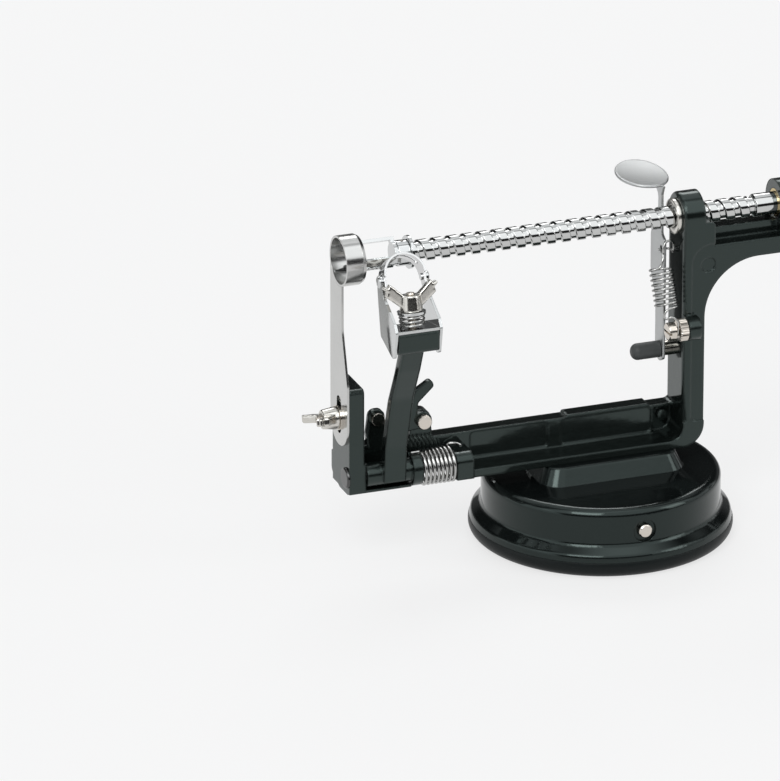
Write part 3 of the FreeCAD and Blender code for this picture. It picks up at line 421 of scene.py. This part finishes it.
blank = rounded([(1.9, 74.0, 2.0), (6.3, 71.6, 3.0), (10.9, 74.0, 2.0), (10.9, 100.0, 10.0),
                 (17.0, 110.0, 10.0), (17.0, 130.0, 5.0), (9.4, 133.0, 4.0), (8.9, 148.0, 3.5),
                 (14.5, 152.3, 0), (3.6, 153.1, 0), (5.6, 148.6, 3.0), (5.2, 142.1, 0), (3.95, 142.1, 0),
                 (3.95, 138.9, 0), (5.2, 138.9, 0), (5.2, 131.0, 1.5), (1.8, 129.0, 1.5),
                 (1.8, 110.0, 6.0), (1.9, 100.0, 10.0)])
plate = stamped([blank, hole(6.3, 77.3, 2.6), hole(4.8, 124.0, 1.7)], 1.2, 0.2)
upright = Matrix(((0, 0, 1, tooth_place), (1, 0, 0, 0), (0, 1, 0, 0), (0, 0, 0, 1)))
pad_turn = Matrix.Rotation(-0.231, 4, "Z") @ Matrix.Rotation(0.089, 4, "Y")
pad = set_at(dished(0.0116, 0.0165, 0.132, 0.0013), Matrix.Translation((0.0259, 0.0206, 0.1532)) @ pad_turn)
# Chrome for the lever, dulled and painted darker than the bracket's: painted shade that tones down the thumb
# pad's highlight.
thumbed_chrome = plated("thumbed_chrome", (0.50, 0.51, 0.51), 0.36, 0.000002)
lever = solid_of("lever_stamping", *together(set_at(plate, upright), pad), thumbed_chrome,
                 "release_lever_body", "release_lever")
soften(lever, 35)

# Springs: drawn wire, coiled cold and left bright, each in one unbroken length.
# They are the arm's twisted spring, the head's press spring and the lever's return spring.

spring_wire = plated("spring_wire", (0.46, 0.46, 0.45), 0.14, 0.000003)
dress(spring_wire, "arm_spring", "head_spring", "release_spring")

# Slicing blade, coring ring and peeling blade: stainless strip, ground along its length.
# The ring is brazed to the slicing blade, and the peeling blade is bent to a hoop and honed.

strip = plated("ground_steel", (0.57, 0.57, 0.56), 0.16, 0.000006)
dress(strip, "slicing_blade", "coring_ring")
dress(plated("honed_steel", (0.64, 0.64, 0.64), 0.08, 0.000004), "peeling_blade")

# Wing nuts and their studs: nickel plated castings on threaded rod.
# One holds the peeling head down, the other clamps the slicing blade.


def cast_metal(name, colour):
    """Plated metal over a casting's grainy skin."""
    finish = Finish(name)
    skin = finish.grain(500.0, 3.0, 0.6)
    patch = finish.grain(90.0, 3.0, 0.6)
    finish.set(Base_Color=finish.mixed(patch, colour, tuple(c * 0.85 for c in colour)), Metallic=1.0,
               Roughness=skin * 0.12 + 0.12)
    finish.relief(skin, 0.00001, 0.0004)
    return finish.owner


cast_nickel = cast_metal("cast_nickel", (0.66, 0.64, 0.60))
fine_thread = [(0, 0.00042), (0.00028, 0.00004), (0.00035, 0), (0.00042, 0.00004)]
stand_up = Matrix(((0, 0, -1, 0), (0, 1, 0, 0), (1, 0, 0, 0), (0, 0, 0, 1)))


def wing_nut(name, body, node, place):
    """A barrel and two wings melted into one skin, then eased as a casting is."""
    barrel = turned([(0, 0.0001), (0, 0.0051), (0.0070, 0.0042), (0.0070, 0.0001)], 48)
    outline = [(2.4, 1.2), (5.5, 2.5), (13.0, 8.7), (11.1, 14.1), (5.6, 9.5), (2.8, 6.6)]
    half_wing = 0.00175
    work = bmesh.new()
    for side in (-1, 1):
        corners = [work.verts.new((side * x / 1000, -half_wing, z / 1000)) for x, z in outline]
        bmesh.ops.bevel(work, geom=corners[2:5] + [work.faces.new(corners)], offset=0.0022, segments=6,
                        affect="VERTICES")
    grown = bmesh.ops.extrude_face_region(work, geom=list(work.faces))
    far_side = [item for item in grown["geom"] if isinstance(item, bmesh.types.BMVert)]
    bmesh.ops.translate(work, vec=(0, 2 * half_wing, 0), verts=far_side)
    bmesh.ops.recalc_face_normals(work, faces=work.faces)
    work.verts.index_update()
    wings = ([tuple(v.co) for v in work.verts], [tuple(v.index for v in face.verts) for face in work.faces])
    work.free()
    verts, faces = together(set_at(barrel, stand_up), wings)
    piece = solid_of(name, verts, faces, cast_nickel, body, node)
    melt = piece.modifiers.new("melt", "REMESH")
    melt.mode = "VOXEL"
    melt.voxel_size = 0.00030
    ease = piece.modifiers.new("ease", "SMOOTH")
    ease.iterations = 16
    bpy.context.view_layer.update()
    eased = bpy.data.meshes.new_from_object(piece.evaluated_get(bpy.context.evaluated_depsgraph_get()))
    piece.modifiers.clear()
    piece.data = eased
    piece.data.transform(place)
    for polygon in piece.data.polygons:
        polygon.use_smooth = True


head_middle = -0.09925
clamp_height = 0.069
stud_lean = Matrix.Translation((head_middle, -0.0325, 0.1185)) @ Matrix.Rotation(math.radians(-10.0), 4, "X")
wing_nut("head_wings", "head_nut_body", "head_wing_nut", stud_lean @ Matrix.Translation((0, 0, 0.00815)))
clamp_spot = Matrix.Translation((-0.1216, 0, clamp_height))
laid = Matrix.Rotation(math.radians(74), 4, "X") @ Matrix.Rotation(math.radians(-90), 4, "Y")
wing_nut("clamp_wings", "clamp_nut_body", "clamp_wing_nut", clamp_spot @ laid)

stud = set_at(threaded(fine_thread, 0.0020, 0.0007, 0, -0.0070, 0.0160, 0.0004, 32), stud_lean @ stand_up)
soften(solid_of("head_stud_thread", *stud, nickel, "peel_arm_body", "head_stud"), 60)
bolt_thread = threaded(fine_thread, 0.0021, 0.0007, 0, -0.1306, -0.1150, 0.0004, 32)
bolt_head = turned([(-0.1155, 0.0019), (-0.1129, 0.0021), (-0.1129, 0.0044), (-0.1127, 0.0046),
                    (-0.1120, 0.0046), (-0.1113, 0.0040), (-0.1109, 0.0025), (-0.1109, 0.0001)], 48)
bolt = set_at(together(bolt_thread, bolt_head), Matrix.Translation((0, 0, clamp_height)))
soften(solid_of("clamp_bolt_thread", *bolt, nickel, "frame_body", "clamp_bolt"), 50)

# Rivets of the peeling blade: bright steel with domed heads on the cheeks' outer sides.
# Each passes through a cheek and a leg of the blade.

rivets = []
for side in (-1, 1):
    dome = turned([(0.0079, 0.0001), (0.0079, 0.0015), (0.0106, 0.0015), (0.0106, 0.0025), (0.0108, 0.0026),
                   (0.0112, 0.0023), (0.0114, 0.0016), (0.0115, 0.0008), (0.0115, 0.0001)], 32)
    facing = Matrix.Rotation(math.pi if side < 0 else 0, 4, "Z")
    rivets.append(set_at(dome, Matrix.Translation((head_middle, -0.0206, 0.1370)) @ facing))
soften(solid_of("rivet_domes", *together(*rivets), chrome, "peel_head_body", "blade_rivets"))

# Latch pin: a steel pin with a knurled head that the fingers turn.
# It is pressed into the lug behind the peel arm and carries the latch.


def knurled(steps, teeth, depth):
    """A shape turned about +X from (place along X, radius) points, with straight teeth cut into its skin."""
    verts = []
    for x, radius in steps:
        for k in range(teeth * 2):
            r = max(radius - (depth if k % 2 else 0), 0.0001)
            angle = math.pi * k / teeth
            verts.append((x, r * math.cos(angle), r * math.sin(angle)))
    return verts, skin(len(steps), teeth * 2)


head = knurled([(-0.0028, 0.0030), (-0.0025, 0.0033), (-0.0004, 0.0033), (-0.0001, 0.0030)], 30, 0.00028)
shank = turned([(-0.0010, 0.0018), (0.0070, 0.0018), (0.0077, 0.0015), (0.0077, 0.0001)], 32)
pin_place = Matrix.Translation((-0.0827, -0.0014, 0.0625)) @ Matrix.Rotation(math.radians(90), 4, "Z")
solid_of("latch_pin_knurled", *set_at(together(head, shank), pin_place), nickel, "frame_body", "latch_pin")

# Anchor collar: a knurled steel collar on the screw that holds the return spring.
# It is clamped against the lug on the front of the post.

edge = knurled([(0.0299, 0.0017), (0.0299, 0.0045), (0.0303, 0.0049), (0.0335, 0.0049), (0.0339, 0.0045),
                (0.0339, 0.0017)], 26, 0.00035)
collar = set_at(edge, Matrix.Translation((0, -0.0127, 0.0928)))
solid_of("anchor_collar_knurled", *collar, nickel, "frame_body", "anchor_collar")

# Handle grip: turned hardwood under black lacquer.
# It is bored through and spins freely on the long bolt of the crank.

dress(enamel("grip_lacquer", (0.007, 0.006, 0.006), 0.000008, 0.10, 0.0004, 1.48), "handle_grip")

# Floor: a plain white table that keeps the tool's shadow.
# It glows a little to the camera and to the metal, as a lit studio table does.
# Its rear right corner is painted dark for glossy rays only, a painted dark reflection in the metal.

bpy.ops.mesh.primitive_plane_add(size=12.0, location=(0, 0, 0))
floor = bpy.context.object
floor.name = "floor"
paper = Finish("paper")
paper.set(Base_Color=(0.80, 0.80, 0.80), Roughness=0.7, Specular_IOR_Level=0.2)
ray = paper.node("ShaderNodeLightPath", {}, out="Is Camera Ray")
shine = paper.node("ShaderNodeLightPath", {}, out="Is Glossy Ray")
through = paper.node("ShaderNodeLightPath", {}, out="Is Transmission Ray")
plain = Reading(paper, paper.shader.outputs[0])
along, behind = [paper.node("ShaderNodeSeparateXYZ", {}, paper.place, out=axis) for axis in "XY"]
# Mask of the rear right corner, painted dark only for glossy rays: a painted dark reflection.
painted_dark_corner = paper.ramp(behind, 0.0, 0.25) * paper.ramp(along, -0.02, 0.06) * shine
share = (ray + shine + through) * 0.72 + painted_dark_corner * 0.28
white = paper.mixed(painted_dark_corner, (0.985, 0.985, 0.985), (0.10, 0.10, 0.10))
glow = paper.node("ShaderNodeEmission", {}, white, 1.0)
blend = paper.node("ShaderNodeMixShader", {}, share, plain, glow)
paper.tree.links.new(blend.socket, paper.tree.nodes["Material Output"].inputs["Surface"])
floor.data.materials.append(paper.owner)

# Studio: an even sky gives the light, and polished metal mirrors a dark room with white panels.
# Three soft lamps stand at the front left, at the right and behind.

studio = Recipe(bpy.data.worlds.new("studio"))
bpy.context.scene.world = studio.owner
heading = studio.node("ShaderNodeTexCoord", {}, out="Generated")
across, deep, high = [studio.node("ShaderNodeSeparateXYZ", {}, heading, out=axis) for axis in "XYZ"]
ramp = studio.ramp

# Panels are told by height, the sine of elevation, and by side. The wall behind is dark only in a band.
front_panel = ramp(high, 0.35, 0.44) * ramp(-1 * deep, 0.0, 0.2)
back_wall = ramp(deep, 0.0, 0.2) * ((1 - ramp(high, 0.14, 0.33)) * 0.12 + ramp(high, 0.52, 0.80) * 0.95)
side_panel = ramp(-1 * across, 0.80, 0.88) * ramp(high, -0.05, 0.05) * (1 - ramp(high, 0.45, 0.6))
right_panel = ramp(across, 0.86, 0.92) * ramp(high, 0.0, 0.1) * (1 - ramp(high, 0.35, 0.5))
ceiling = ramp(high, 0.88, 0.98)
room = front_panel * 1.5 + back_wall + side_panel * 1.3 + right_panel * 0.9 + ceiling * 0.6 + 0.02
mirror = studio.node("ShaderNodeBackground", {}, (0.97, 0.99, 1.0, 1), room)
even = studio.node("ShaderNodeBackground", {}, (0.96, 0.98, 1.0, 1), 0.55)
glossy = studio.node("ShaderNodeLightPath", {}, out="Is Glossy Ray")
view = studio.node("ShaderNodeMixShader", {}, glossy, even, mirror)
studio.tree.links.new(view.socket, studio.tree.nodes["World Output"].inputs["Surface"])


def softbox(name, place, size, power):
    """A soft lamp turned towards the tool."""
    lamp = bpy.data.lights.new(name, "AREA")
    lamp.shape = "RECTANGLE"
    lamp.size, lamp.size_y = size
    lamp.energy = power
    holder = bpy.data.objects.new(name, lamp)
    holder.location = place
    holder.rotation_euler = (Vector((0, 0, 0.08)) - Vector(place)).to_track_quat("-Z", "Y").to_euler()
    bpy.context.scene.collection.objects.link(holder)


softbox("key", (-0.9, -1.2, 1.5), (0.9, 0.9), 14)
softbox("fill", (1.3, -0.9, 0.8), (0.6, 1.0), 5)
softbox("rim", (0.3, 1.4, 1.2), (1.4, 0.5), 8)

bpy.context.scene.view_settings.view_transform = "Standard"
